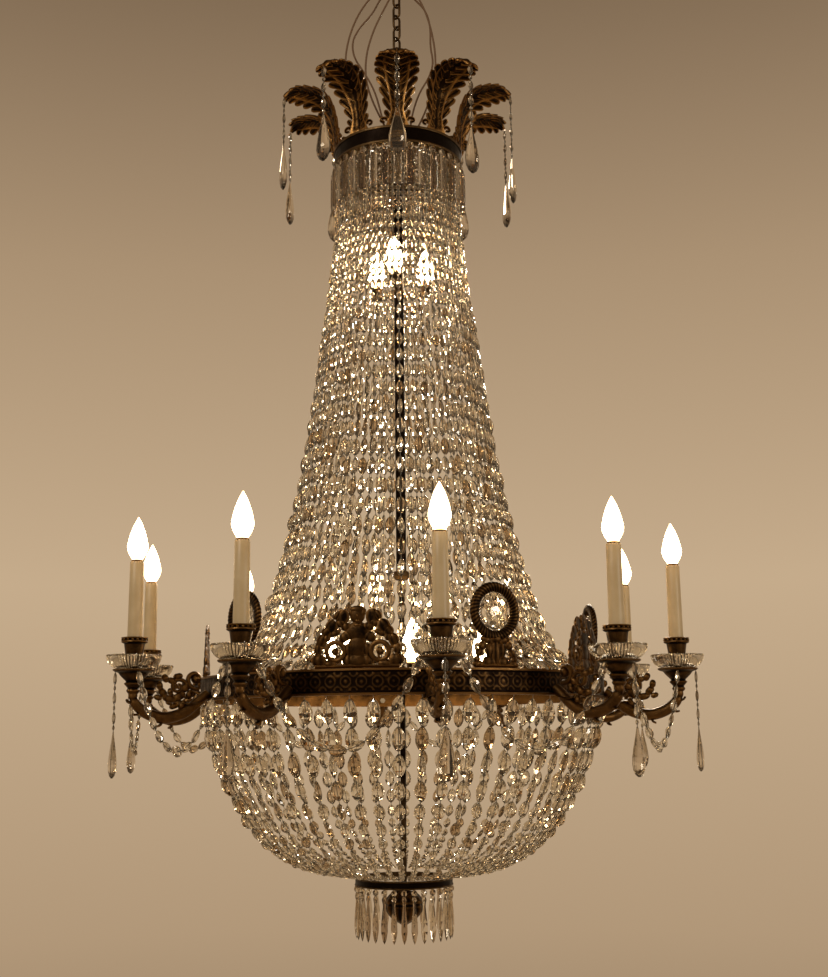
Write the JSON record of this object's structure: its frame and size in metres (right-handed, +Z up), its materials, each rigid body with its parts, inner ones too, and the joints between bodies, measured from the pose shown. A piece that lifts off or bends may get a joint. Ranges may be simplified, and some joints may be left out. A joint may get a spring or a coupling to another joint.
{
  "type": "crystal chandelier",
  "caption": "Empire chandelier: leaf crown, tent and bowl of crystal strings, gilt ring with candle arms, ornaments and swinging drops, hung by a chain from a ceiling fitting.",
  "frame": {"origin": "middle of the ceiling plate's upper face, on the ceiling", "axes": "+Z up out of the ceiling face, -Y towards the viewer, +X to the viewer's right"},
  "size_m": [1.0748, 1.0886, 1.9422],
  "materials": {
    "antique_gilt": "old gilt with a dark patina",
    "dark_bronze": "dark bronze",
    "dark_steel": "dull steel",
    "clear_crystal": "cut and polished",
    "dish_glass": "cut clear glass",
    "lamp_glass": "warm satin glass",
    "ivory_sleeve": "satin ivory",
    "white_block": "plain moulded",
    "brown_flex": "matte brown cover"
  },
  "bodies": {
    "ceiling": {"ceiling_plate": "dark_steel", "ceiling_hook": "dark_steel", "ceiling_rose": "antique_gilt", "terminal_block": "white_block"},
    "hook_link": {"chain_link_top": "dark_bronze"},
    "chandelier": {"arm_screws": "dark_steel", "arms": "antique_gilt", "baguette_prisms": "clear_crystal", "bottom_finial": "antique_gilt", "bottom_ring": "dark_bronze", "bowl_strands": "clear_crystal", "candle_cups": "antique_gilt", "candle_lamps": "lamp_glass", "candle_sleeves": "ivory_sleeve", "central_stem": "dark_bronze", "chain_links": "dark_bronze", "crown_leaves": "antique_gilt", "crown_ring": "antique_gilt", "crown_spider": "dark_bronze", "crystal_swags": "clear_crystal", "drip_pans": "antique_gilt", "glass_dishes": "dish_glass", "inner_lamps": "lamp_glass", "lamp_carriers": "dark_bronze", "main_ring": "antique_gilt", "octagon_row": "clear_crystal", "ring_spider": "dark_bronze", "scroll_mounts": "antique_gilt", "spear_prisms": "clear_crystal", "stem_nut": "dark_steel", "supply_flex_1": "brown_flex", "supply_flex_2": "brown_flex", "supply_flex_3": "brown_flex", "supply_flex_4": "brown_flex", "supply_flex_5": "brown_flex", "tent_strands": "clear_crystal", "top_loop": "dark_bronze", "wreath_jewels": "clear_crystal", "wreath_mounts": "antique_gilt"},
    "crown_pendant_01": {"crown_pendant_01": "clear_crystal"},
    "crown_pendant_02": {"crown_pendant_02": "clear_crystal"},
    "crown_pendant_03": {"crown_pendant_03": "clear_crystal"},
    "crown_pendant_04": {"crown_pendant_04": "clear_crystal"},
    "crown_pendant_05": {"crown_pendant_05": "clear_crystal"},
    "crown_pendant_06": {"crown_pendant_06": "clear_crystal"},
    "crown_pendant_07": {"crown_pendant_07": "clear_crystal"},
    "crown_pendant_08": {"crown_pendant_08": "clear_crystal"},
    "crown_pendant_09": {"crown_pendant_09": "clear_crystal"},
    "crown_pendant_10": {"crown_pendant_10": "clear_crystal"},
    "arm_pendant_01": {"arm_pendant_01": "clear_crystal"},
    "arm_pendant_02": {"arm_pendant_02": "clear_crystal"},
    "arm_pendant_03": {"arm_pendant_03": "clear_crystal"},
    "arm_pendant_04": {"arm_pendant_04": "clear_crystal"},
    "arm_pendant_05": {"arm_pendant_05": "clear_crystal"},
    "arm_pendant_06": {"arm_pendant_06": "clear_crystal"},
    "arm_pendant_07": {"arm_pendant_07": "clear_crystal"},
    "arm_pendant_08": {"arm_pendant_08": "clear_crystal"},
    "arm_pendant_09": {"arm_pendant_09": "clear_crystal"},
    "arm_pendant_10": {"arm_pendant_10": "clear_crystal"}
  },
  "joints": [
    {"name": "hook_sway", "type": "hinge", "parent": "ceiling", "child": "hook_link", "pos_m": [0, 0, -0.062], "axis": [0.7071, 0.7071, 0], "range_deg": [-4, 4]},
    {"name": "link_sway", "type": "hinge", "parent": "hook_link", "child": "chandelier", "pos_m": [0, 0, -0.0855], "axis": [-0.7071, 0.7071, 0], "range_deg": [-3, 3]},
    {"name": "crown_swing_01", "type": "hinge", "parent": "chandelier", "child": "crown_pendant_01", "pos_m": [0, -0.235, -0.35082], "axis": [1, 0, 0], "range_deg": [-20, 20]},
    {"name": "crown_swing_02", "type": "hinge", "parent": "chandelier", "child": "crown_pendant_02", "pos_m": [0.13813, -0.19012, -0.35082], "axis": [0.809, 0.5878, 0], "range_deg": [-20, 20]},
    {"name": "crown_swing_03", "type": "hinge", "parent": "chandelier", "child": "crown_pendant_03", "pos_m": [0.2235, -0.07262, -0.35082], "axis": [0.309, 0.9511, 0], "range_deg": [-20, 20]},
    {"name": "crown_swing_04", "type": "hinge", "parent": "chandelier", "child": "crown_pendant_04", "pos_m": [0.2235, 0.07262, -0.35082], "axis": [-0.309, 0.9511, 0], "range_deg": [-20, 20]},
    {"name": "crown_swing_05", "type": "hinge", "parent": "chandelier", "child": "crown_pendant_05", "pos_m": [0.13813, 0.19012, -0.35082], "axis": [-0.809, 0.5878, 0], "range_deg": [-20, 20]},
    {"name": "crown_swing_06", "type": "hinge", "parent": "chandelier", "child": "crown_pendant_06", "pos_m": [0, 0.235, -0.35082], "axis": [-1, 0, 0], "range_deg": [-20, 20]},
    {"name": "crown_swing_07", "type": "hinge", "parent": "chandelier", "child": "crown_pendant_07", "pos_m": [-0.13813, 0.19012, -0.35082], "axis": [-0.809, -0.5878, 0], "range_deg": [-20, 20]},
    {"name": "crown_swing_08", "type": "hinge", "parent": "chandelier", "child": "crown_pendant_08", "pos_m": [-0.2235, 0.07262, -0.35082], "axis": [-0.309, -0.9511, 0], "range_deg": [-20, 20]},
    {"name": "crown_swing_09", "type": "hinge", "parent": "chandelier", "child": "crown_pendant_09", "pos_m": [-0.2235, -0.07262, -0.35082], "axis": [0.309, -0.9511, 0], "range_deg": [-20, 20]},
    {"name": "crown_swing_10", "type": "hinge", "parent": "chandelier", "child": "crown_pendant_10", "pos_m": [-0.13813, -0.19012, -0.35082], "axis": [0.809, -0.5878, 0], "range_deg": [-20, 20]},
    {"name": "arm_swing_01", "type": "hinge", "parent": "chandelier", "child": "arm_pendant_01", "pos_m": [0.06186, -0.52738, -1.4807], "axis": [0.9932, 0.1165, 0], "range_deg": [-25, 10]},
    {"name": "arm_swing_02", "type": "hinge", "parent": "chandelier", "child": "arm_pendant_02", "pos_m": [0.36003, -0.3903, -1.4807], "axis": [0.735, 0.678, 0], "range_deg": [-25, 10]},
    {"name": "arm_swing_03", "type": "hinge", "parent": "chandelier", "child": "arm_pendant_03", "pos_m": [0.52069, -0.10414, -1.4807], "axis": [0.1961, 0.9806, 0], "range_deg": [-25, 10]},
    {"name": "arm_swing_04", "type": "hinge", "parent": "chandelier", "child": "arm_pendant_04", "pos_m": [0.48246, 0.2218, -1.4807], "axis": [-0.4177, 0.9086, 0], "range_deg": [-25, 10]},
    {"name": "arm_swing_05", "type": "hinge", "parent": "chandelier", "child": "arm_pendant_05", "pos_m": [0.25994, 0.46302, -1.4807], "axis": [-0.872, 0.4895, 0], "range_deg": [-25, 10]},
    {"name": "arm_swing_06", "type": "hinge", "parent": "chandelier", "child": "arm_pendant_06", "pos_m": [-0.06186, 0.52738, -1.4807], "axis": [-0.9932, -0.1165, 0], "range_deg": [-25, 10]},
    {"name": "arm_swing_07", "type": "hinge", "parent": "chandelier", "child": "arm_pendant_07", "pos_m": [-0.36003, 0.3903, -1.4807], "axis": [-0.735, -0.678, 0], "range_deg": [-25, 10]},
    {"name": "arm_swing_08", "type": "hinge", "parent": "chandelier", "child": "arm_pendant_08", "pos_m": [-0.52069, 0.10414, -1.4807], "axis": [-0.1961, -0.9806, 0], "range_deg": [-25, 10]},
    {"name": "arm_swing_09", "type": "hinge", "parent": "chandelier", "child": "arm_pendant_09", "pos_m": [-0.48246, -0.2218, -1.4807], "axis": [0.4177, -0.9086, 0], "range_deg": [-25, 10]},
    {"name": "arm_swing_10", "type": "hinge", "parent": "chandelier", "child": "arm_pendant_10", "pos_m": [-0.25994, -0.46302, -1.4807], "axis": [0.872, -0.4895, 0], "range_deg": [-25, 10]}
  ]
}
